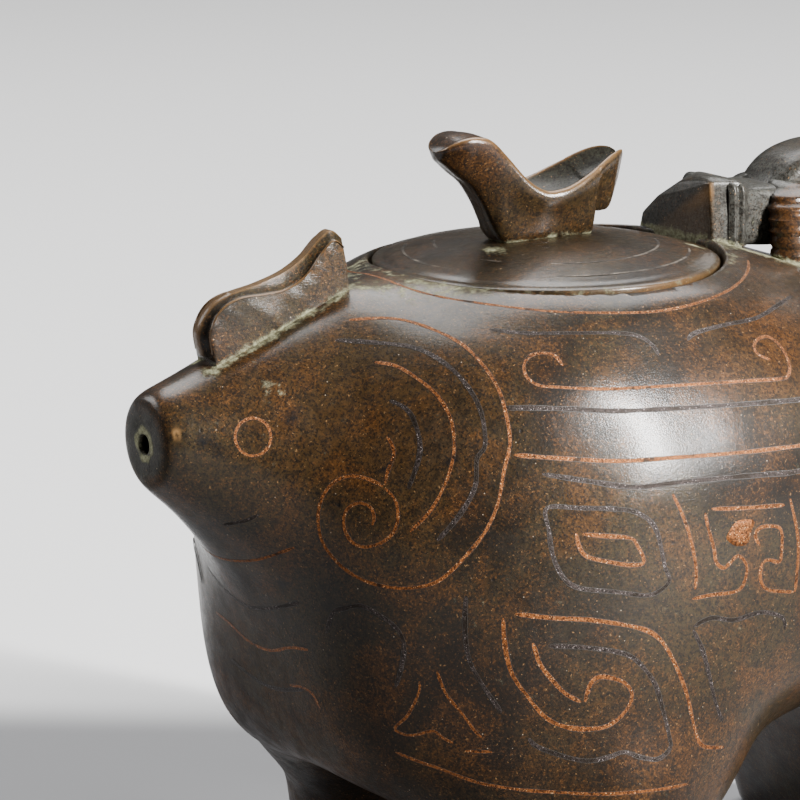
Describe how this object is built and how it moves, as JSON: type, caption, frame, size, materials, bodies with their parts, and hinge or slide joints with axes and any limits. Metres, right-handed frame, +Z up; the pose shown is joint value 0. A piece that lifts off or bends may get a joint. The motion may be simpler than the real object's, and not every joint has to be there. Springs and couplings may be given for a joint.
{
  "type": "calligraphy water dropper",
  "caption": "Hollow bronze water dropper in the form of a crested bird, with a lift-off lid, a loop handle, a drip bore in the snout and inlaid copper and silver wire.",
  "frame": {"origin": "on the ground under the middle of the lid", "axes": "+X from the head to the tail, +Y to the bird's right side, +Z up along the lid's axis"},
  "size_m": [0.0965, 0.0628, 0.0843],
  "materials": {
    "patinated_bronze": "dark waxed patina, glossy",
    "dark_bronze": "dark waxed patina, glossy",
    "copper_wire": "worn copper, satin",
    "silver_wire": "tarnished silver, satin"
  },
  "bodies": {
    "vessel": {"body_shell": "patinated_bronze", "leg_left": "patinated_bronze", "leg_right": "patinated_bronze", "fan_tail": "patinated_bronze", "crest": "dark_bronze", "dragon_handle": "dark_bronze", "copper_shoulder_ring": "copper_wire", "copper_breast_lines": "copper_wire", "silver_breast_lines": "silver_wire", "copper_tail_lines": "copper_wire", "silver_tail_lines": "silver_wire", "copper_eye_ring_left": "copper_wire", "copper_eye_ring_right": "copper_wire", "copper_wing_spiral_left": "copper_wire", "copper_wing_spiral_right": "copper_wire", "silver_wing_arcs_left": "silver_wire", "silver_wing_arcs_right": "silver_wire", "copper_back_scroll_left": "copper_wire", "copper_back_scroll_right": "copper_wire", "silver_back_scroll_left": "silver_wire", "silver_back_scroll_right": "silver_wire", "copper_wing_bar_left": "copper_wire", "copper_wing_bar_right": "copper_wire", "silver_wing_bars_left": "silver_wire", "silver_wing_bars_right": "silver_wire", "silver_shield_left": "silver_wire", "silver_shield_right": "silver_wire", "copper_shield_heart_left": "copper_wire", "copper_shield_heart_right": "copper_wire", "copper_fret_left": "copper_wire", "copper_fret_right": "copper_wire", "copper_fret_patch_left": "copper_wire", "copper_fret_patch_right": "copper_wire", "copper_thigh_scroll_left": "copper_wire", "copper_thigh_scroll_right": "copper_wire", "silver_thigh_scroll_left": "silver_wire", "silver_thigh_scroll_right": "silver_wire", "copper_belly_border_left": "copper_wire", "copper_belly_border_right": "copper_wire", "silver_flank_scroll_left": "silver_wire", "silver_flank_scroll_right": "silver_wire", "copper_shank_lines_left": "copper_wire", "copper_shank_lines_right": "copper_wire", "silver_shank_lines_left": "silver_wire", "silver_shank_lines_right": "silver_wire", "copper_rump_spiral_left": "copper_wire", "copper_rump_spiral_right": "copper_wire"},
    "lid": {"lid_plate": "patinated_bronze", "lid_collar": "dark_bronze", "bird_finial": "dark_bronze", "silver_lid_rings": "silver_wire"}
  },
  "joints": [
    {"name": "lid_lift", "type": "slide", "parent": "vessel", "child": "lid", "axis": [0, 0, 1], "range_m": [0, 0.04]}
  ]
}
